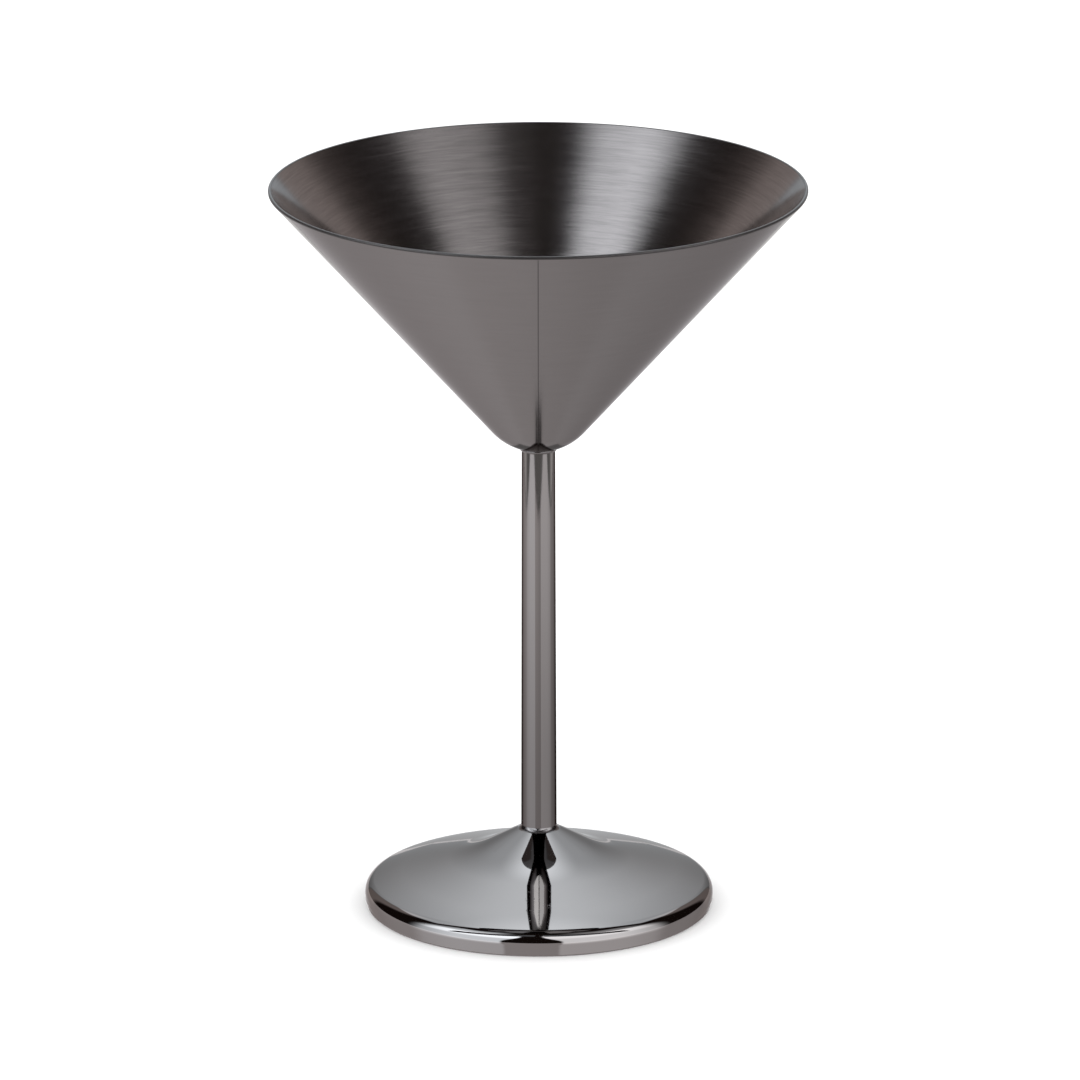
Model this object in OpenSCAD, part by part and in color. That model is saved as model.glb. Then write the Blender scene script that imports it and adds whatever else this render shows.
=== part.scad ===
// Stainless steel martini glass: a spun cone bowl on a tapered tube stem and a
// domed foot with a flat base disc. All pieces are concentric about Z, and the
// origin is at the centre of the underside, on the surface the glass stands on.

/* [Overall] */
// Diameter over the edge of the bowl
rim_d = 120; // [100:1:144]
// Height from the table to the top of the bowl
total_h = 167; // [139:1:201]
// Diameter over the edge of the foot
foot_d = 78.7; // [65.6:0.1:94.4]

/* [Bowl] */
// Angle between the bowl's wall and the axis
wall_angle = 41.8; // [38:0.1:46]
// Thickness of the bowl's sheet
bowl_t = 0.8; // [0.65:0.05:1]
// Outer radius of the rounded bottom of the bowl
nose_r = 14.2; // [11.8:0.1:17.1]

/* [Stem] */
// Diameter of the stem where it meets the bowl
stem_top_d = 7.5; // [6.2:0.1:9]
// Diameter of the stem where it meets the foot
stem_base_d = 8; // [6.6:0.1:9.6]
// Diameter of the bore through the stem
bore_d = 5.4; // [4.5:0.1:6.5]
// Depth of the upper spigot in the bore
upper_spigot_l = 8; // [6:0.5:12]
// Depth of the lower spigot in the bore
lower_spigot_l = 10; // [8:0.5:14]

/* [Foot] */
// Thickness of the foot's sheet
foot_t = 0.8; // [0.65:0.05:1]
// Radius of the rounded shoulder around the foot
shoulder_r = 3.2; // [2.6:0.1:3.9]
// Height of the upright edge of the foot above the base disc
edge_h = 0.9; // [0.6:0.1:1.3]
// Slope of the dome next to the shoulder, from the horizontal
rim_slope = 20; // [18.5:0.5:24]
// Radius of the crown that eases the dome towards the shoulder
crown_r = 80; // [60:1:90]
// Slope of the straight part of the dome
dome_slope = 15.2; // [12.6:0.1:18]
// Slope of the neck that rises to the stem
neck_slope = 28; // [23.5:0.5:33.5]
// Diameter at which the slopes of the dome and the neck would meet
knee_d = 32; // [26.5:0.5:38]
// Radius of the hollow curve that joins the dome to the neck
knee_r = 42; // [30:1:50]
// Width of the flat seat around the stem
seat_w = 0.5; // [0.4:0.05:0.7]

/* [Base disc] */
// Thickness of the disc that shows below the foot's edge
disc_h = 1.9; // [1.5:0.1:2.4]
// How far the disc's rim stands in from the foot's edge
disc_inset = 0.5; // [0.3:0.05:0.6]
// Bevel around the underside
disc_bevel = 0.3; // [0.2:0.05:0.5]

/* [Brazed joints] */
// Radius of the bead under the bowl
bowl_bead_r = 0.5; // [0.4:0.05:0.8]
// Width of the fillet at the bottom of the stem
stem_fillet_w = 0.8; // [0.8:0.1:1.5]
// Height of the fillet at the bottom of the stem
stem_fillet_h = 0.8; // [0.7:0.1:1.5]
// Size of the bevel on the disc's step that the braze fills
braze_groove = 0.35; // [0.25:0.05:0.4]

/* [Fits] */
// Radial gap between a spigot and the bore, zero for a press fit
spigot_gap = 0; // [0:0.01:0.05]
// Radial gap between the disc's step and the foot, zero for a press fit
step_gap = 0; // [0:0.01:0.05]
// Gap kept between the top of the step and the start of the shoulder
step_top_gap = 0.1; // [0.05:0.05:0.2]

/* [Hidden] */
$fn = 240;
// Number of short cones that make up the crown and the knee
crown_steps = 4;
knee_steps = 8;

// ---- bowl: wall, rounded bottom and round edge, as radius and height ----
rim_r = rim_d / 2;
lip_r = bowl_t / 2;
lip_c = [rim_r - lip_r, total_h - lip_r];
// Unit vector square out of the wall
wall_out = [cos(wall_angle), -sin(wall_angle)];
wall_top_in = lip_c - lip_r * wall_out;
wall_top_out = lip_c + lip_r * wall_out;
// The outer wall line meets the axis here, and the nose's sphere touches that line
apex_z = wall_top_out[1] - wall_top_out[0] / tan(wall_angle);
nose_c = [0, apex_z + nose_r / sin(wall_angle)];
nose_end_out = nose_c + nose_r * wall_out;
nose_end_in = nose_c + (nose_r - bowl_t) * wall_out;

// Height of the underside of the nose at radius r
function nose_z(r) = nose_c[1] - sqrt(nose_r * nose_r - r * r);

// ---- foot: shoulder, crown, dome, knee and neck of the outer face ----
// Each curve starts where the one before it ends, with the same slope
foot_r = foot_d / 2;
edge_top = disc_h + edge_h;
rim_out = [sin(rim_slope), cos(rim_slope)];
dome_out = [sin(dome_slope), cos(dome_slope)];
shoulder_c = [foot_r - shoulder_r, edge_top];
shoulder_end = shoulder_c + shoulder_r * rim_out;
crown_c = shoulder_end - crown_r * rim_out;
crown_end = crown_c + crown_r * dome_out;
knee_p = [knee_d / 2, crown_end[1] + (crown_end[0] - knee_d / 2) * tan(dome_slope)];
knee_tangent = knee_r * tan((neck_slope - dome_slope) / 2);
knee_low = knee_p + knee_tangent * [cos(dome_slope), -sin(dome_slope)];
knee_high = knee_p + knee_tangent * [-cos(neck_slope), sin(neck_slope)];
knee_c = knee_low + knee_r * dome_out;

// Point number i along the crown or the knee, at radius r about its centre
function crown_at(r, i) =
  let (slope = rim_slope + (dome_slope - rim_slope) * i / crown_steps)
  crown_c + r * [sin(slope), cos(slope)];
function knee_at(r, i) =
  let (slope = dome_slope + (neck_slope - dome_slope) * i / knee_steps)
  knee_c - r * [sin(slope), cos(slope)];

// ---- stem: a taper that stands on the foot's seat ----
bore_r = bore_d / 2;
base_r = stem_base_d / 2;
top_r = stem_top_d / 2;
seat_r = base_r + seat_w;
seat_z = knee_high[1] + (knee_high[0] - seat_r) * tan(neck_slope);
seat_p = [seat_r, seat_z];
stem_top_z = nose_z(top_r);

// Radius of the outside of the stem at height z
function stem_r(z) = base_r + (top_r - base_r) * (z - seat_z) / (stem_top_z - seat_z);

// ---- spigots ----
spigot_r = bore_r - spigot_gap;
spigot_tip = 0.5;
flange_h = 1.2;
// Where the inner face of the neck reaches the underside of the seat
under_seat_r = seat_r - foot_t * tan(neck_slope / 2);
flange_gap = 0.2;
flange_r = under_seat_r - flange_gap;

// ---- base disc ----
disc_r = foot_r - disc_inset;
step_r = foot_r - foot_t - step_gap;
step_top = edge_top - step_top_gap;

// A bent strip of sheet: from radius r0 to r1 about c, between two angles
module bend(c, r0, r1, a0, a1) {
  reach = 2 * r1;
  mid = (a0 + a1) / 2;
  translate(c) intersection() {
    difference() {
      circle(r1);
      circle(r0);
    }
    polygon([
      [0, 0],
      reach * [cos(a0), sin(a0)],
      reach * [cos(mid), sin(mid)],
      reach * [cos(a1), sin(a1)],
    ]);
  }
}

// Spun cone with a rounded bottom and a full round edge
module bowl_shell() {
  color([0.36, 0.36, 0.36]) rotate_extrude() {
    bend(nose_c, nose_r - bowl_t, nose_r, -90, -wall_angle);
    polygon([nose_end_in, nose_end_out, wall_top_out, wall_top_in]);
    translate(lip_c) circle(lip_r);
  }
}

// Short plug under the bowl that lines the stem up, with a face to fit the nose
module bowl_spigot() {
  low_z = stem_top_z - upper_spigot_l;
  color([0.55, 0.55, 0.54]) rotate_extrude() difference() {
    polygon([
      [0, low_z],
      [spigot_r - spigot_tip, low_z],
      [spigot_r, low_z + spigot_tip],
      [spigot_r, nose_c[1]],
      [0, nose_c[1]],
    ]);
    translate(nose_c) circle(nose_r);
  }
}

// Bead of braze in the corner between the stem and the bowl
module bowl_braze() {
  low_z = stem_top_z - 2 * bowl_bead_r;
  color([0.36, 0.36, 0.36]) rotate_extrude() difference() {
    translate([top_r, stem_top_z]) circle(bowl_bead_r);
    polygon([[0, low_z], [stem_r(low_z), low_z], [stem_r(nose_c[1]), nose_c[1]], [0, nose_c[1]]]);
    translate(nose_c) circle(nose_r);
  }
}

// Tapered tube, flat below and hollowed above to fit the nose
module stem_tube() {
  color([0.33, 0.33, 0.33]) rotate_extrude() difference() {
    polygon([
      [bore_r, seat_z],
      [base_r, seat_z],
      [stem_r(nose_c[1]), nose_c[1]],
      [bore_r, nose_c[1]],
    ]);
    translate(nose_c) circle(nose_r);
  }
}

// Flanged plug that holds the foot up against the stem from inside
module foot_spigot() {
  under_seat = seat_z - foot_t;
  tip_z = seat_z + lower_spigot_l;
  color([0.55, 0.55, 0.54]) rotate_extrude() polygon([
    [0, under_seat - flange_h],
    [flange_r, under_seat - flange_h],
    [flange_r, under_seat],
    [spigot_r, under_seat],
    [spigot_r, tip_z - spigot_tip],
    [spigot_r - spigot_tip, tip_z],
    [0, tip_z],
  ]);
}

// Hollow fillet of braze around the bottom of the stem
module stem_braze() {
  low = [base_r + stem_fillet_w, seat_z - (stem_fillet_w - seat_w) * tan(neck_slope)];
  high_z = seat_z + stem_fillet_h;
  high = [stem_r(high_z), high_z];
  chord = norm(high - low);
  side = [high[1] - low[1], low[0] - high[0]] / chord;
  curve_r = 1.5 * chord;
  curve_c = (low + high) / 2 + sqrt(curve_r * curve_r - chord * chord / 4) * side;
  color([0.36, 0.36, 0.36]) rotate_extrude() difference() {
    polygon([[base_r, seat_z], seat_p, low, [low[0], high_z], high]);
    translate(curve_c) circle(curve_r);
  }
}

// Pressed dome: upright edge, shoulder, crown, straight dome, knee, neck and flat seat
module foot_shell() {
  seat_in = [under_seat_r, seat_z - foot_t];
  color([0.40, 0.40, 0.41]) rotate_extrude() {
    translate([foot_r - foot_t, disc_h]) square([foot_t, edge_h]);
    bend(shoulder_c, shoulder_r - foot_t, shoulder_r, 0, 90 - rim_slope);
    polygon(concat(
      [for (i = [0:crown_steps]) crown_at(crown_r, i)],
      [for (i = [0:knee_steps]) knee_at(knee_r, i)],
      [seat_p, [bore_r, seat_z], [bore_r, seat_z - foot_t], seat_in],
      [for (i = [knee_steps:-1:0]) knee_at(knee_r + foot_t, i)],
      [for (i = [crown_steps:-1:0]) crown_at(crown_r - foot_t, i)]
    ));
  }
}

// Turned disc that closes the foot, with a step that fits inside its edge
module base_disc() {
  color([0.35, 0.35, 0.36]) rotate_extrude() polygon([
    [0, 0],
    [disc_r - disc_bevel, 0],
    [disc_r, disc_bevel],
    [disc_r, disc_h],
    [step_r, disc_h],
    [step_r, step_top - braze_groove],
    [step_r - braze_groove, step_top],
    [0, step_top],
  ]);
}

// Ring of braze in the groove between the step and the foot's edge
module base_braze() {
  wall_r = foot_r - foot_t;
  color([0.75, 0.74, 0.70]) rotate_extrude() polygon([
    [step_r - braze_groove, step_top],
    [step_r, step_top - braze_groove],
    [wall_r, step_top - braze_groove],
    [wall_r, step_top],
  ]);
}

bowl_shell();
bowl_spigot();
bowl_braze();
stem_tube();
foot_spigot();
stem_braze();
foot_shell();
base_disc();
base_braze();
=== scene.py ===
import math

import bpy
from mathutils import Matrix, Vector


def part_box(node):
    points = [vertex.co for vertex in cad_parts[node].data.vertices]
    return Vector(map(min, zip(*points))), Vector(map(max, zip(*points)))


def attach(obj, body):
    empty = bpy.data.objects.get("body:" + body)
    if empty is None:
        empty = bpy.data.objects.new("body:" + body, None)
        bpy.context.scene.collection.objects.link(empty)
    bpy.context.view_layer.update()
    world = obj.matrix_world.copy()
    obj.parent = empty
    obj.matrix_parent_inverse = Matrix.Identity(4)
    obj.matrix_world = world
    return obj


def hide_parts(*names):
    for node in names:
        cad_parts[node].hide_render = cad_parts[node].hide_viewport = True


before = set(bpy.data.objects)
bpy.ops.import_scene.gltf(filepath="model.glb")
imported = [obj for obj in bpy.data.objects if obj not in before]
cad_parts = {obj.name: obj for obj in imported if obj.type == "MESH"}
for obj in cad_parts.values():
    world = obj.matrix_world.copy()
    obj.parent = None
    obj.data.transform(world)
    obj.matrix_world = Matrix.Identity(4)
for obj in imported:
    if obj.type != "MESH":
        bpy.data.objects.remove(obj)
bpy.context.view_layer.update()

# A dark steel martini glass: a spun cone bowl, satin inside and polished outside,
# on a tapered stem and a domed foot with a flat base disc. Metres, +Z up.
MM = 0.001
SEGMENTS = 256
TOUCHING = 1e-7

# ---------------------------------------------------------------- sizes
# Overall sizes and levels come from the frame; the rest repeats the design.
BOWL_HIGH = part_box("bowl_shell")[1]
STEM_LOW, STEM_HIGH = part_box("stem_tube")
FOOT_LOW, FOOT_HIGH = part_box("foot_shell")
DISC_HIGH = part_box("base_disc")[1]

RIM_R = BOWL_HIGH.x
TOP_Z = BOWL_HIGH.z
WALL_ANGLE = math.radians(41.8)
SHEET = 0.8 * MM
LIP_R = SHEET / 2
NOSE_R = 14.2 * MM

STEM_TOP_R = 3.75 * MM
STEM_BASE_R = STEM_HIGH.x
BORE_R = 2.7 * MM
BEAD = 0.5 * MM
SEAT_Z = STEM_LOW.z

FOOT_R = FOOT_HIGH.x
SEAM_Z = FOOT_LOW.z
SHOULDER_R = 3.2 * MM
EDGE_H = 0.9 * MM
RIM_SLOPE = math.radians(20)
CROWN_R = 80 * MM
DOME_SLOPE = math.radians(15.2)
NECK_SLOPE = math.radians(28)
KNEE_AT = 16 * MM
KNEE_R = 42 * MM
SEAT_W = 0.5 * MM
SEAT_R = STEM_BASE_R + SEAT_W
FILLET_W = 0.8 * MM
FILLET_H = 0.8 * MM
FILLET_HOLLOW = 1.5  # the hollow's radius, in chords

DISC_R = DISC_HIGH.x
DISC_TOP = DISC_HIGH.z
STEP_R = FOOT_R - SHEET
BEVEL = 0.3 * MM
GROOVE = 0.35 * MM


def unit(angle):
    """Unit vector (radius, height) at an angle from the horizontal."""
    return Vector((math.cos(angle), math.sin(angle)))


def angle_of(v):
    return math.atan2(v.y, v.x)


# ---------------------------------------------------------------- lathe
# An outline is a list of stretches, each a list of (point, normal) pairs in the
# (radius, height) plane. It runs anticlockwise round the metal: up the outside,
# down the inside. Each stretch carries the index of its material.
def line(p, q, steps=4, slot=0):
    """A straight stretch from p to q."""
    along = (q - p).normalized()
    normal = Vector((along.y, -along.x))
    return [(p.lerp(q, i / steps), normal) for i in range(steps + 1)], slot


def arc(centre, radius, start, end, steps=8, slot=0):
    """A round stretch about centre; hollow where it runs clockwise."""
    sign = 1 if end > start else -1
    found = []
    for i in range(steps + 1):
        out = unit(start + (end - start) * i / steps)
        found.append((centre + radius * out, sign * out))
    return found, slot


def lathe(name, outline, materials, closed=True, segments=SEGMENTS):
    """Turns an outline about Z into a mesh with exact normals."""
    rings, ring_of = [], []
    for points, _ in outline:
        rows = []
        for point, _ in points:
            if rings and (rings[-1] - point).length < TOUCHING:
                rows.append(len(rings) - 1)
            elif closed and rings and (rings[0] - point).length < TOUCHING:
                rows.append(0)
            else:
                rings.append(point)
                rows.append(len(rings) - 1)
        ring_of.append(rows)
    turns = [2 * math.pi * j / segments for j in range(segments)]
    verts, first = [], []
    for r, z in rings:
        first.append(len(verts))
        if r < TOUCHING:
            verts.append((0, 0, z))
        else:
            verts.extend((r * math.cos(a), r * math.sin(a), z) for a in turns)

    def on_axis(ring):
        return rings[ring].x < TOUCHING

    def vert(ring, j):
        return first[ring] if on_axis(ring) else first[ring] + j % segments

    faces, slots, normals = [], [], []
    for (points, slot), rows in zip(outline, ring_of):
        for i in range(len(points) - 1):
            low, high = rows[i], rows[i + 1]
            if low == high:
                continue
            for j in range(segments):
                corners = [(low, j, i), (low, j + 1, i), (high, j + 1, i + 1), (high, j, i + 1)]
                face = []
                for ring, turn, at in corners:
                    v = vert(ring, turn)
                    if v in face:
                        continue
                    face.append(v)
                    n = points[at][1]
                    angle = 2 * math.pi * (turn + (0.5 if on_axis(ring) else 0)) / segments
                    normals.append((n.x * math.cos(angle), n.x * math.sin(angle), n.y))
                faces.append(face)
                slots.append(slot)
    mesh = bpy.data.meshes.new(name)
    mesh.from_pydata(verts, [], faces)
    for material in materials:
        mesh.materials.append(material)
    mesh.polygons.foreach_set("material_index", slots)
    mesh.polygons.foreach_set("use_smooth", [True] * len(faces))
    mesh.normals_split_custom_set(normals)
    mesh.update()
    piece = bpy.data.objects.new(name, mesh)
    bpy.context.scene.collection.objects.link(piece)
    return piece


# ---------------------------------------------------------------- materials
QUARTER_TURN = 0.25


class Nodes:
    """Short names for building a node tree."""

    def __init__(self, tree):
        self.tree = tree
        tree.nodes.clear()

    def add(self, kind, settings=None, **inputs):
        node = self.tree.nodes.new(kind)
        for key, value in (settings or {}).items():
            setattr(node, key, value)
        for key, value in inputs.items():
            self.put(node, key.replace("_", " "), value)
        return node

    def put(self, node, socket, value):
        target = node.inputs[int(socket)] if str(socket).isdigit() else node.inputs[socket]
        if isinstance(value, bpy.types.NodeSocket):
            self.tree.links.new(value, target)
        else:
            target.default_value = value

    def place(self):
        """A point's place on the object, in metres."""
        return self.add("ShaderNodeTexCoord").outputs["Object"]

    def split(self, vector):
        return self.add("ShaderNodeSeparateXYZ", Vector=vector).outputs

    def math(self, operation, a, b=0.0, c=0.0):
        node = self.add("ShaderNodeMath", {"operation": operation})
        for i, value in enumerate((a, b, c)):
            self.put(node, i, value)
        return node.outputs[0]

    def product(self, first, *others):
        for other in others:
            first = self.math("MULTIPLY", first, other)
        return first

    def hypot(self, a, b):
        """The square root of a squared plus b squared."""
        squares = [self.math("MULTIPLY", side, side) for side in (a, b)]
        return self.math("SQRT", self.math("ADD", *squares))

    def ramp(self, value, low, high, out_low=0.0, out_high=1.0):
        """Smooth step from low to high."""
        node = self.add("ShaderNodeMapRange", {"interpolation_type": "SMOOTHSTEP"})
        for i, v in enumerate((value, low, high, out_low, out_high)):
            self.put(node, i, v)
        return node.outputs[0]

    def noise(self, vector, scale, detail=3.0, roughness=0.5, distortion=0.0):
        node = self.add("ShaderNodeTexNoise", Scale=scale, Detail=detail, Roughness=roughness,
                        Distortion=distortion, Vector=vector)
        return node.outputs["Fac"]

    def stretched(self, along_x, along_y, scale_x, scale_y):
        """A flat pattern's place, scaled differently along its two sides."""
        node = self.add("ShaderNodeCombineXYZ", X=self.math("MULTIPLY", along_x, scale_x),
                        Y=self.math("MULTIPLY", along_y, scale_y))
        return node.outputs[0]

    def mix(self, factor, a, b):
        node = self.add("ShaderNodeMix", {"data_type": "RGBA"})
        self.put(node, 0, factor)
        self.put(node, 6, a)
        self.put(node, 7, b)
        return node.outputs[2]

    def scaled(self, colour, level):
        node = self.add("ShaderNodeVectorMath", {"operation": "SCALE"}, Scale=level)
        self.put(node, 0, colour)
        return node.outputs[0]

    def total(self, first, *others):
        """The sum of colours."""
        for other in others:
            node = self.add("ShaderNodeVectorMath", {"operation": "ADD"})
            self.put(node, 0, first)
            self.put(node, 1, other)
            first = node.outputs[0]
        return first

    def bump(self, height, strength, distance, normal=None):
        node = self.add("ShaderNodeBump", Strength=strength, Distance=distance, Height=height)
        if normal is not None:
            self.put(node, "Normal", normal)
        return node.outputs[0]

    def metal(self, colour, rough, normal, **inputs):
        """Ends a material as metal."""
        shader = self.add("ShaderNodeBsdfPrincipled", Base_Color=colour, Metallic=1.0,
                          Roughness=rough, Normal=normal, **inputs)
        self.add("ShaderNodeOutputMaterial", Surface=shader.outputs[0])

    def worked_metal(self, colour, rough, normal, anisotropy, **inputs):
        """Ends a material as metal worked round the Z axis, so highlights lie across the marks."""
        tangent = self.add("ShaderNodeTangent", {"direction_type": "RADIAL", "axis": "Z"})
        self.metal(colour, rough, normal, Anisotropic=anisotropy,
                   Anisotropic_Rotation=QUARTER_TURN, Tangent=tangent.outputs[0], **inputs)


def new_material(name):
    material = bpy.data.materials.new(name)
    material.use_nodes = True
    return material, Nodes(material.node_tree)


def shade(tint, times=1.0):
    """A tint made lighter or darker, as a node's colour."""
    return (*[c * times for c in tint], 1)


def polished_steel(name, tint, edge_tint, roughness, painted_low_shade=1.0):
    """Dark coated steel, mirror polished: faint smears, hairline scratches and ripple.

    Between 100 mm and 20 mm above the table the colour darkens, a painted shade, to the share of
    its tint that the last argument gives.
    """
    material, n = new_material(name)
    place = n.place()
    haze = n.ramp(n.noise(place, 38, detail=4, roughness=0.55, distortion=0.6), 0.48, 0.78)
    drawn_out = n.add("ShaderNodeMapping", Scale=(900, 900, 60), Vector=place).outputs[0]
    hairs = n.ramp(n.noise(drawn_out, 1, detail=2, roughness=0.6), 0.64, 0.72)
    colour = n.mix(n.math("MULTIPLY", haze, 0.25), shade(tint), shade(tint, 1.12))
    # Painted shade: the colour darkens towards the bottom.
    height = n.split(place)[2]
    colour = n.scaled(colour, n.ramp(height, 20 * MM, 100 * MM, painted_low_shade, 1.0))
    rough = n.math("MULTIPLY_ADD", haze, 0.05, roughness)
    rough = n.math("MULTIPLY_ADD", hairs, 0.05, rough)
    ripple = n.bump(n.noise(place, 55, detail=1, roughness=0.4), 0.012, 1 * MM)
    surface = n.bump(hairs, 0.06, 0.02 * MM, ripple)
    n.metal(colour, rough, surface, Specular_Tint=shade(edge_tint))
    return material


def brushed_steel(name, tint, edge_tint, roughness, anisotropy, lustre, front_line=0.0):
    """Dark coated steel brushed round the axis, so highlights fan out from the middle.

    The marks are lighter and darker by lustre, and the last argument is the width of a dark
    hairline down the front.
    """
    material, n = new_material(name)
    x, y, z = n.split(n.place())
    turn = n.math("ARCTAN2", y, x)
    # Brush marks: fine along the wall, long around it, in strokes of uneven length
    marks = n.noise(n.stretched(turn, z, 6.0, 3400.0), 1, detail=4, roughness=0.7)
    strokes = n.noise(n.stretched(turn, z, 2.5, 900.0), 1, detail=3, roughness=0.6)
    both = n.math("MULTIPLY_ADD", marks, 0.6, n.math("MULTIPLY", strokes, 0.4))
    colour = n.mix(n.ramp(both, 0.3, 0.7), shade(tint, 1 - lustre), shade(tint, 1 + lustre))
    rough = n.math("MULTIPLY_ADD", both, 0.8 * roughness, 0.6 * roughness)
    surface = n.bump(both, 0.10, 0.03 * MM)
    if front_line:
        # A darker hairline down the front, on the -Y side only, with a slight dip in the surface
        away = n.math("ADD", n.math("ABSOLUTE", x), n.math("GREATER_THAN", y, 0.0))
        groove = n.ramp(away, 0.3 * front_line, 0.6 * front_line, 1.0, 0.0)
        colour = n.mix(n.math("MULTIPLY", groove, 0.6), colour, shade(tint, 0.25))
        surface = n.bump(n.math("SUBTRACT", 1.0, groove), 0.2, 0.04 * MM, surface)
    n.worked_metal(colour, rough, surface, anisotropy, Specular_Tint=shade(edge_tint))
    return material


def turned_steel(name, tint):
    """Steel with the fine concentric marks of a lathe tool."""
    material, n = new_material(name)
    x, y, z = n.split(n.place())
    radius = n.hypot(x, y)
    tool_step = 0.35 * MM
    groove = n.math("SINE", n.math("MULTIPLY", radius, 2 * math.pi / tool_step))
    uneven = n.noise(n.stretched(radius, z, 1500.0, 1500.0), 1)
    marks = n.math("MULTIPLY_ADD", groove, 0.3, uneven)
    colour = n.mix(uneven, shade(tint, 0.85), shade(tint, 1.1))
    rough = n.math("MULTIPLY_ADD", uneven, 0.14, 0.18)
    n.worked_metal(colour, rough, n.bump(marks, 0.12, 0.04 * MM), anisotropy=0.5)
    return material


def braze_metal(name, tint):
    """Braze, dressed smooth but a little pitted."""
    material, n = new_material(name)
    place = n.place()
    grain = n.noise(place, 1800, detail=3, roughness=0.6)
    pits = n.ramp(n.noise(place, 4200, detail=2, roughness=0.5), 0.30, 0.40)
    colour = n.mix(grain, shade(tint, 0.8), shade(tint, 1.15))
    rough = n.math("MULTIPLY_ADD", grain, 0.2, 0.12)
    n.metal(colour, rough, n.bump(pits, 0.15, 0.03 * MM))
    return material


DARK = (0.225, 0.212, 0.208)
WHITE = (1.0, 1.0, 1.0)
POLISHED = polished_steel("polished_dark_steel", DARK, (0.55, 0.53, 0.52), roughness=0.035)
# The stem's colour is darkened towards the bottom, and its edge tint is far darker than its tint
# so its outlines show dark: both are painted shade.
DRAWN = polished_steel("drawn_dark_steel", DARK, (0.13, 0.12, 0.12), roughness=0.05,
                       painted_low_shade=0.64)
BUFFED = brushed_steel("buffed_dark_steel", (0.215, 0.205, 0.202), (0.56, 0.55, 0.55),
                       roughness=0.12, anisotropy=0.3, lustre=0.03, front_line=0.3 * MM)
SATIN = brushed_steel("satin_dark_steel", (0.245, 0.225, 0.22), WHITE,
                      roughness=0.16, anisotropy=0.5, lustre=0.16)
# The lip's tint is far darker than the coat's: painted shade, so the round edge shows as a dark
# line.
PAINTED_DARK_LIP = brushed_steel("lip_painted_shade_steel", (0.085, 0.079, 0.078), WHITE,
                     roughness=0.42, anisotropy=0.3, lustre=0.05)
UNDERSIDE = turned_steel("turned_dark_steel", (0.20, 0.195, 0.19))
BARE = turned_steel("turned_bare_steel", (0.55, 0.54, 0.53))
BRAZE = braze_metal("silver_braze", (0.48, 0.46, 0.43))
COATED_BRAZE = braze_metal("coated_braze", (0.17, 0.16, 0.158))


# ---------------------------------------------------------------- bowl
WALL_OUT = unit(-WALL_ANGLE)
LIP_C = Vector((RIM_R - LIP_R, TOP_Z - LIP_R))
WALL_TOP_IN = LIP_C - LIP_R * WALL_OUT
WALL_TOP_OUT = LIP_C + LIP_R * WALL_OUT
APEX_Z = WALL_TOP_OUT.y - WALL_TOP_OUT.x / math.tan(WALL_ANGLE)
NOSE_C = Vector((0, APEX_Z + NOSE_R / math.sin(WALL_ANGLE)))


def make_bowl():
    """The spun cone: rounded bottom, straight wall and full round edge, inside and out."""
    outside, inside, lip = 0, 1, 2
    nose_out = NOSE_C + NOSE_R * WALL_OUT
    nose_in = NOSE_C + (NOSE_R - SHEET) * WALL_OUT
    outline = [
        arc(NOSE_C, NOSE_R, -math.pi / 2, -WALL_ANGLE, 24, outside),
        line(nose_out, WALL_TOP_OUT, 6, outside),
        arc(LIP_C, LIP_R, -WALL_ANGLE, math.pi - WALL_ANGLE, 16, lip),
        line(WALL_TOP_IN, nose_in, 6, inside),
        arc(NOSE_C, NOSE_R - SHEET, -WALL_ANGLE, -math.pi / 2, 24, inside),
    ]
    return lathe("bowl", outline, [BUFFED, SATIN, PAINTED_DARK_LIP], closed=False)


# ---------------------------------------------------------------- stem
def on_nose(r):
    """The point at radius r on the underside of the bowl's round bottom."""
    return Vector((r, NOSE_C.y - math.sqrt(NOSE_R**2 - r * r)))


STEM_TOP = on_nose(STEM_TOP_R)
STEM_BASE = Vector((STEM_BASE_R, SEAT_Z))


def stem_r(z):
    share = (z - STEM_BASE.y) / (STEM_TOP.y - STEM_BASE.y)
    return STEM_BASE_R + (STEM_TOP_R - STEM_BASE_R) * share


def make_stem():
    """The tapered tube, from the foot's seat to the underside of the bowl."""
    bore_top, bore_low = on_nose(BORE_R), Vector((BORE_R, SEAT_Z))
    outline = [
        line(STEM_BASE, STEM_TOP, 24),
        arc(NOSE_C, NOSE_R, angle_of(STEM_TOP - NOSE_C), angle_of(bore_top - NOSE_C), 3),
        line(bore_top, bore_low, 4),
        line(bore_low, STEM_BASE, 2),
    ]
    return lathe("stem", outline, [DRAWN], segments=160)


def make_bowl_bead():
    """The thin bead of braze in the corner between stem and bowl."""
    out = NOSE_C - STEM_TOP
    reach = Vector((out.y, -out.x)).normalized() * BEAD
    start, end = -math.pi / 2, angle_of(reach)
    outline = [
        arc(STEM_TOP, BEAD, start, end, 10),
        line(STEM_TOP + reach, STEM_TOP, 2),
        line(STEM_TOP, STEM_TOP + BEAD * unit(start), 2),
    ]
    return lathe("bowl_bead", outline, [COATED_BRAZE], segments=128)


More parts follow.
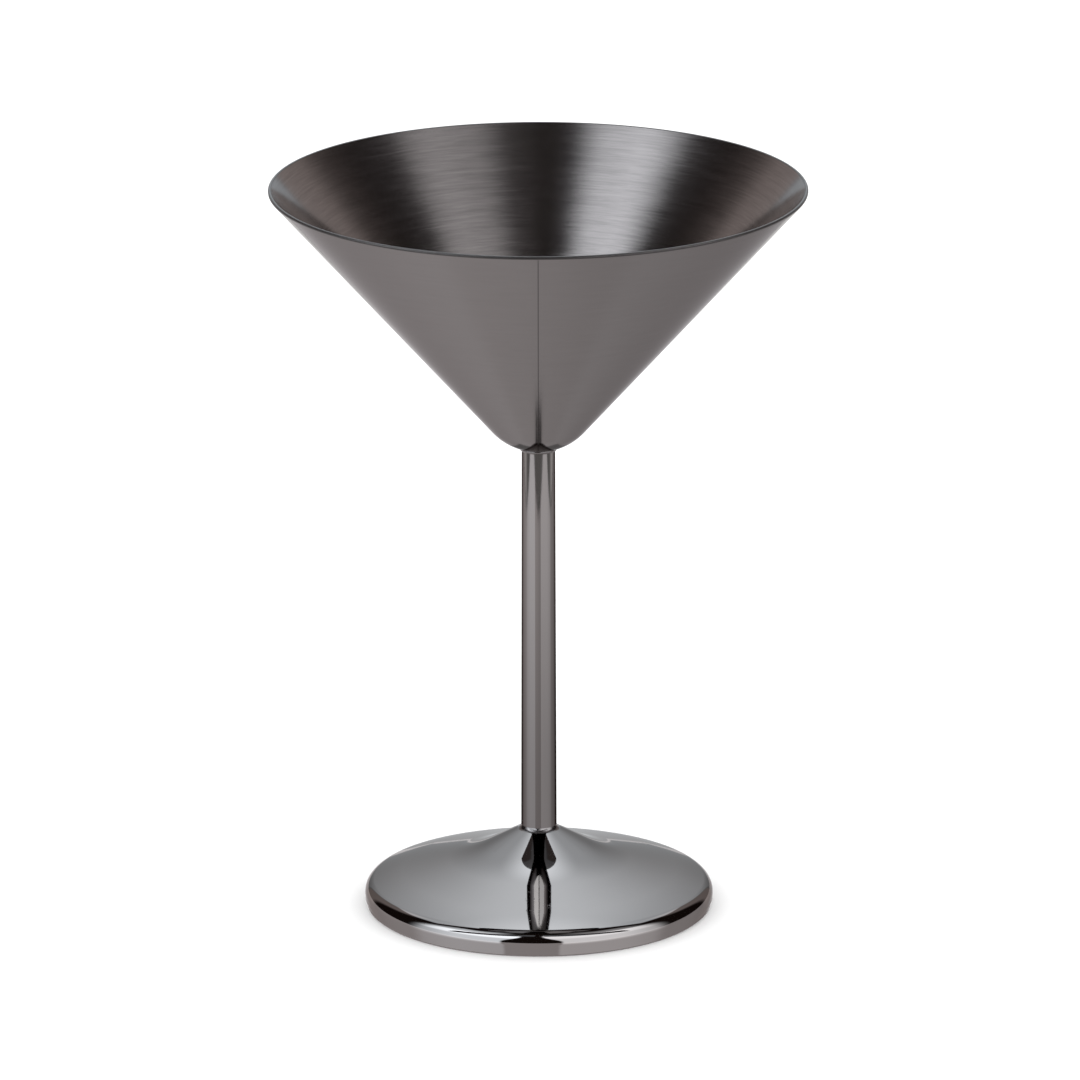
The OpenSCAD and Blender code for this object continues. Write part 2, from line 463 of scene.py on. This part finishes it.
# ---------------------------------------------------------------- foot
RIM_OUT = unit(math.pi / 2 - RIM_SLOPE)
DOME_OUT = unit(math.pi / 2 - DOME_SLOPE)
NECK_OUT = unit(math.pi / 2 - NECK_SLOPE)
SHOULDER_C = Vector((FOOT_R - SHOULDER_R, SEAM_Z + EDGE_H))
SHOULDER_END = SHOULDER_C + SHOULDER_R * RIM_OUT
CROWN_C = SHOULDER_END - CROWN_R * RIM_OUT
CROWN_END = CROWN_C + CROWN_R * DOME_OUT
KNEE_P = Vector((KNEE_AT, CROWN_END.y + (CROWN_END.x - KNEE_AT) * math.tan(DOME_SLOPE)))
KNEE_TANGENT = KNEE_R * math.tan((NECK_SLOPE - DOME_SLOPE) / 2)
KNEE_LOW = KNEE_P + KNEE_TANGENT * unit(-DOME_SLOPE)
KNEE_HIGH = KNEE_P - KNEE_TANGENT * unit(-NECK_SLOPE)
KNEE_C = KNEE_LOW + KNEE_R * DOME_OUT
SEAT = Vector((SEAT_R, SEAT_Z))


def make_foot():
    """The pressed dome: upright edge, shoulder, crown, straight dome, knee, neck and seat,
    and back along the inside."""
    rim, dome = math.pi / 2 - RIM_SLOPE, math.pi / 2 - DOME_SLOPE
    turn_low, turn_high = -math.pi / 2 - DOME_SLOPE, -math.pi / 2 - NECK_SLOPE
    edge_top = SEAM_Z + EDGE_H
    bore = Vector((BORE_R, SEAT_Z))
    bore_under = Vector((BORE_R, SEAT_Z - SHEET))
    under = Vector((SEAT_R - SHEET * math.tan(NECK_SLOPE / 2), SEAT_Z - SHEET))
    outline = [
        line(Vector((FOOT_R, SEAM_Z)), Vector((FOOT_R, edge_top)), 2),
        arc(SHOULDER_C, SHOULDER_R, 0, rim, 40),
        arc(CROWN_C, CROWN_R, rim, dome, 10),
        line(CROWN_END, KNEE_LOW, 6),
        arc(KNEE_C, KNEE_R, turn_low, turn_high, 16),
        line(KNEE_HIGH, SEAT, 6),
        line(SEAT, bore, 2),
        line(bore, bore_under, 1),
        line(bore_under, under, 1),
        line(under, KNEE_HIGH - SHEET * NECK_OUT, 4),
        arc(KNEE_C, KNEE_R + SHEET, turn_high, turn_low, 12),
        line(KNEE_LOW - SHEET * DOME_OUT, CROWN_END - SHEET * DOME_OUT, 4),
        arc(CROWN_C, CROWN_R - SHEET, dome, rim, 6),
        arc(SHOULDER_C, SHOULDER_R - SHEET, rim, 0, 12),
        line(Vector((STEP_R, edge_top)), Vector((STEP_R, SEAM_Z)), 1),
        line(Vector((STEP_R, SEAM_Z)), Vector((FOOT_R, SEAM_Z)), 1),
    ]
    return lathe("foot", outline, [POLISHED])


def make_stem_fillet():
    """The braze fillet at the bottom of the stem, dressed into a smooth hollow curve."""
    low = Vector((STEM_BASE_R + FILLET_W, SEAT_Z - (FILLET_W - SEAT_W) * math.tan(NECK_SLOPE)))
    high = Vector((stem_r(SEAT_Z + FILLET_H), SEAT_Z + FILLET_H))
    across = high - low
    chord = across.length
    side = Vector((across.y, -across.x)) / chord
    curve_r = FILLET_HOLLOW * chord
    centre = (low + high) / 2 + math.sqrt(curve_r**2 - chord**2 / 4) * side
    start, end = [angle_of(p - centre) % (2 * math.pi) for p in (low, high)]
    outline = [
        arc(centre, curve_r, start, end, 12),
        line(high, STEM_BASE, 1),
        line(STEM_BASE, SEAT, 1),
        line(SEAT, low, 1),
    ]
    return lathe("stem_fillet", outline, [COATED_BRAZE], segments=160)


def make_base():
    """The base disc: polished rim, turned underside, and a step grooved for its braze."""
    rim_face, underside = 0, 1
    corners = [(DISC_R - BEVEL, 0), (DISC_R, BEVEL), (DISC_R, SEAM_Z), (STEP_R, SEAM_Z),
               (STEP_R, DISC_TOP - GROOVE), (STEP_R - GROOVE, DISC_TOP), (0, DISC_TOP)]
    steps = [1, 2, 1, 1, 1, 4]
    outline = [line(Vector((0, 0)), Vector(corners[0]), 24, underside)]
    for p, q, count in zip(corners, corners[1:], steps):
        outline.append(line(Vector(p), Vector(q), count, rim_face))
    return lathe("base", outline, [POLISHED, UNDERSIDE], closed=False)


# ---------------------------------------------------------------- pieces on the frame
bowl, stem, bowl_bead = make_bowl(), make_stem(), make_bowl_bead()
foot, stem_fillet, base = make_foot(), make_stem_fillet(), make_base()
PIECES = [
    (bowl, "bowl_shell"),
    (stem, "stem_tube"),
    (bowl_bead, "bowl_braze"),
    (foot, "foot_shell"),
    (stem_fillet, "stem_braze"),
    (base, "base_disc"),
]
for piece, node in PIECES:
    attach(piece, "root")
    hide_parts(node)

# The hidden plugs and braze ring stay as the frame has them
for node, material in (("bowl_spigot", BARE), ("foot_spigot", BARE), ("base_braze", BRAZE)):
    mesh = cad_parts[node].data
    mesh.materials.clear()
    mesh.materials.append(material)


# ---------------------------------------------------------------- studio
ELEVATION = math.radians(16.4)
DAYLIGHT = 1.5

# The polished bowl mirrors a clean table, as retouched product shots show it
HIDDEN_BELOW = [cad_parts[node] for node in ("foot_spigot", "base_braze")]
for piece in [foot, base, stem_fillet] + HIDDEN_BELOW:
    piece.visible_glossy = False


def stage_quad(name, corners, material):
    """A thin sheet with four corners, part of the stage."""
    mesh = bpy.data.meshes.new(name)
    mesh.from_pydata(corners, [], [(0, 1, 2, 3)])
    mesh.materials.append(material)
    sheet = bpy.data.objects.new(name, mesh)
    bpy.context.scene.collection.objects.link(sheet)
    return sheet


def stage_sheet(name, half, front, back, z, material):
    """A sheet lying level, as wide on the left as on the right."""
    corners = [(-half, front, z), (half, front, z), (half, back, z), (-half, back, z)]
    return stage_quad(name, corners, material)


def matt_white():
    material, n = new_material("matt_white")
    shader = n.add("ShaderNodeBsdfPrincipled", Base_Color=(0.86, 0.86, 0.86, 1), Roughness=0.9,
                   Specular_IOR_Level=0.2)
    n.add("ShaderNodeOutputMaterial", Surface=shader.outputs[0])
    return material


def lit_gloss(name, left, right, tint):
    """A glossy sheet that glows, from the level on its left to the level on its right."""
    material, n = new_material(name)
    x = n.split(n.place())[0]
    level = n.ramp(x, -100 * MM, 100 * MM, left, right)
    shader = n.add("ShaderNodeBsdfPrincipled", Base_Color=(0, 0, 0, 1), Roughness=0.05,
                   Emission_Color=shade(tint), Emission_Strength=level)
    n.add("ShaderNodeOutputMaterial", Surface=shader.outputs[0])
    return material


def only_mirrored(sheet):
    """Leaves the sheet out of everything but the metal's reflections."""
    for use in ("camera", "diffuse", "shadow", "transmission"):
        setattr(sheet, "visible_" + use, False)


# A matt floor is what shows; the metal mirrors a small glossy table with a dark edge
FLOOR = 4.0
FLOOR_Z = -0.02 * MM
TABLE = 330 * MM
TABLE_EDGE = 8 * MM
TABLE_DROP = 0.5 * MM
floor = stage_sheet("floor", FLOOR, -FLOOR, FLOOR, FLOOR_Z, matt_white())
floor.visible_glossy = False
# The table top glows, brighter on its left than its right: painted light in place of a lit table.
table = stage_sheet("table", TABLE, -TABLE, TABLE, FLOOR_Z,
                    lit_gloss("table_top", 0.93, 0.70, (1.0, 0.95, 0.96)))
only_mirrored(table)
rim = TABLE + TABLE_EDGE
table_edge = stage_sheet("table_edge", rim, -rim, rim, FLOOR_Z - TABLE_DROP,
                         lit_gloss("table_rim", 0.02, 0.02, WHITE))
only_mirrored(table_edge)

# A dark card lies on the table behind the foot
CARD_HALF = 36 * MM
CARD_NEAR = 48 * MM
CARD_FAR = 190 * MM
CARD_Z = 0.5 * MM
# The card glows faintly: painted light in place of a lit card.
card = stage_sheet("card", CARD_HALF, CARD_NEAR, CARD_FAR, CARD_Z,
                   lit_gloss("dark_card", 0.30, 0.30, (1, 0.97, 0.96)))
only_mirrored(card)

# Two lamps in front and above light the stem alone, for the image of it in the dome. The
# other pieces mirror them as dark shapes.
LAMP_Y = -200 * MM
LAMP_NEAR = 13 * MM
LAMP_FAR = 400 * MM
LAMP_LOW = 225 * MM
LAMP_HIGH = 370 * MM
LAMP_TINT = (0.92, 1.0, 1.03)
only_stem = bpy.data.collections.new("lit_by_lamps")
only_stem.objects.link(stem)
for name, side, level in (("lamp_left", -1, 14.0), ("lamp_right", 1, 11.0)):
    near, far = side * LAMP_NEAR, side * LAMP_FAR
    corners = [(near, LAMP_Y, LAMP_LOW), (far, LAMP_Y, LAMP_LOW),
               (far, LAMP_Y, LAMP_HIGH), (near, LAMP_Y, LAMP_HIGH)]
    lamp = stage_quad(name, corners, lit_gloss(name, level, level, LAMP_TINT))
    lamp.light_linking.receiver_collection = only_stem
    only_mirrored(lamp)


def facing(n, x, y, z):
    """The facing of the metal that mirrors each direction to the front, at ELEVATION: its
    turn round the axis, positive to the right of the middle, and its rise above level."""
    toward = n.math("SUBTRACT", math.cos(ELEVATION), y)
    up = n.math("ADD", z, math.sin(ELEVATION))
    turn = n.math("ARCTAN2", n.math("MULTIPLY", x, -1.0), toward)
    rise = n.math("ARCTAN2", up, n.hypot(x, toward))
    return turn, rise


def front_panels(n, turn, rise):
    """Levels of the right and left front panels: soft edged above, for the bowl and stem,
    and parted by a sharp slit low down, for the foot's shoulder."""

    def band(value, low, high, out_low=0.0, out_high=1.0):
        """Smooth step between two angles in degrees."""
        return n.ramp(value, math.radians(low), math.radians(high), out_low, out_high)

    slit_middle = math.radians(2.5)
    slit_wide, slit_narrow = math.radians(9.5), math.radians(3.0)
    low_part = band(rise, 39, 36)
    high_part = n.math("SUBTRACT", 1.0, low_part)
    slit = band(rise, 12, 34, slit_wide, slit_narrow)
    off_middle = n.math("ABSOLUTE", n.math("SUBTRACT", turn, slit_middle))
    open_slit = band(n.math("SUBTRACT", off_middle, slit), 0, 1.5)
    dim_ends = band(n.math("ABSOLUTE", turn), 26, 50, 1.0, 0.5)
    low_part = n.product(low_part, open_slit, dim_ends)
    strip = band(rise, 22, 28)

    def panel(high, side, level, strip_level):
        """High part and low part of one panel; the low part has a brighter strip on top."""
        low = n.product(n.math("MULTIPLY_ADD", strip, strip_level, level),
                        low_part, n.math(side, turn, 0.0))
        return n.math("ADD", n.math("MULTIPLY", high, high_part), low)

    right_high = band(turn, 7, 18, 0.0, 2.1)
    left_high = n.math("MULTIPLY", band(turn, -5, -19, 0.0, 0.86), band(turn, -42, -30))
    return (panel(right_high, "GREATER_THAN", level=2.4, strip_level=2.0),
            panel(left_high, "LESS_THAN", level=2.5, strip_level=0.9))


def tent_colour(n):
    """The tent's colour in each direction: front panels, sweep behind, corners and foot."""
    x, y, z = n.split(n.add("ShaderNodeTexCoord").outputs["Generated"])
    width = n.math("ABSOLUTE", x)

    def glow(colour, *levels):
        return n.scaled(colour, n.product(*levels))

    right, left = front_panels(n, *facing(n, x, y, z))
    front = n.ramp(n.math("ADD", y, n.ramp(width, 0.36, 0.52, 0.16, 0.0)), 0.10, -0.16)
    # White sweep behind, brighter above, between two warm grey corners with a dark edge
    back = n.ramp(n.math("MULTIPLY_ADD", width, 0.25, y), 0.28, 0.36)
    sweep_edge = n.math("SUBTRACT", width, n.ramp(z, 0.58, 0.70, 0.0, 0.16))
    sweep = n.product(n.ramp(z, -0.10, 0.75, 0.72, 2.05), n.ramp(sweep_edge, 0.46, 0.40),
                      n.ramp(width, 0.02, 0.36, 1.07, 0.60), n.ramp(z, 0.76, 0.92, 1.0, 1.35))
    corner = n.product(n.ramp(width, 0.42, 0.46), n.ramp(width, 0.73, 0.62, 0.0, 0.40))
    dark_gaps = (0.018, 0.012, 0.010)
    above = n.total(glow((0.98, 1.06, 1.13), right, front),
                    glow((0.97, 0.99, 1.02), left, front),
                    glow((0.92, 1.00, 1.06), sweep, back),
                    glow((1.08, 0.96, 0.93), corner, n.ramp(y, 0.30, 0.50)),
                    dark_gaps)
    # Past the table's edge the tent's foot is pale behind and dim in front
    below = glow((1.0, 0.98, 0.97), n.ramp(y, -0.2, 0.2, 0.30, 1.0))
    metal_sees = n.add("ShaderNodeMix", {"data_type": "VECTOR"})
    n.put(metal_sees, 0, n.ramp(z, -0.06, -0.02))
    n.put(metal_sees, 4, below)
    n.put(metal_sees, 5, above)
    return metal_sees.outputs[1]


def make_studio_light():
    """Only the metal mirrors the tent: what shows and what lights the floor is plain white."""
    world = bpy.data.worlds.new("light_tent")
    bpy.context.scene.world = world
    world.use_nodes = True
    n = Nodes(world.node_tree)
    mirrored = n.add("ShaderNodeLightPath").outputs["Is Glossy Ray"]
    plain = n.add("ShaderNodeBackground", Color=(1, 1, 1, 1), Strength=DAYLIGHT)
    tent = n.add("ShaderNodeBackground", Color=tent_colour(n), Strength=1.0)
    both = n.add("ShaderNodeMixShader")
    for socket, value in enumerate((mirrored, plain.outputs[0], tent.outputs[0])):
        n.put(both, socket, value)
    n.add("ShaderNodeOutputWorld", Surface=both.outputs[0])


make_studio_light()

# ---------------------------------------------------------------- camera
DISTANCE = 2.4
AIM = Vector((0.32 * MM, 0, 85.45 * MM))
ROLL = math.radians(-0.07)
SENSOR_MM = 36
LENS_MM = 356.9
camera = bpy.data.objects.new("camera", bpy.data.cameras.new("camera"))
bpy.context.scene.collection.objects.link(camera)
camera.data.sensor_width = SENSOR_MM
camera.data.lens = LENS_MM
camera.data.clip_start = 100 * MM
to_camera = Vector((0, -math.cos(ELEVATION), math.sin(ELEVATION)))
camera.location = AIM + DISTANCE * to_camera
look = (-to_camera).to_track_quat("-Z", "Y").to_matrix()
camera.rotation_euler = (look @ Matrix.Rotation(ROLL, 3, "Z")).to_euler()
bpy.context.scene.camera = camera
bpy.context.scene.view_settings.view_transform = "Standard"
bpy.context.scene.view_settings.look = "None"
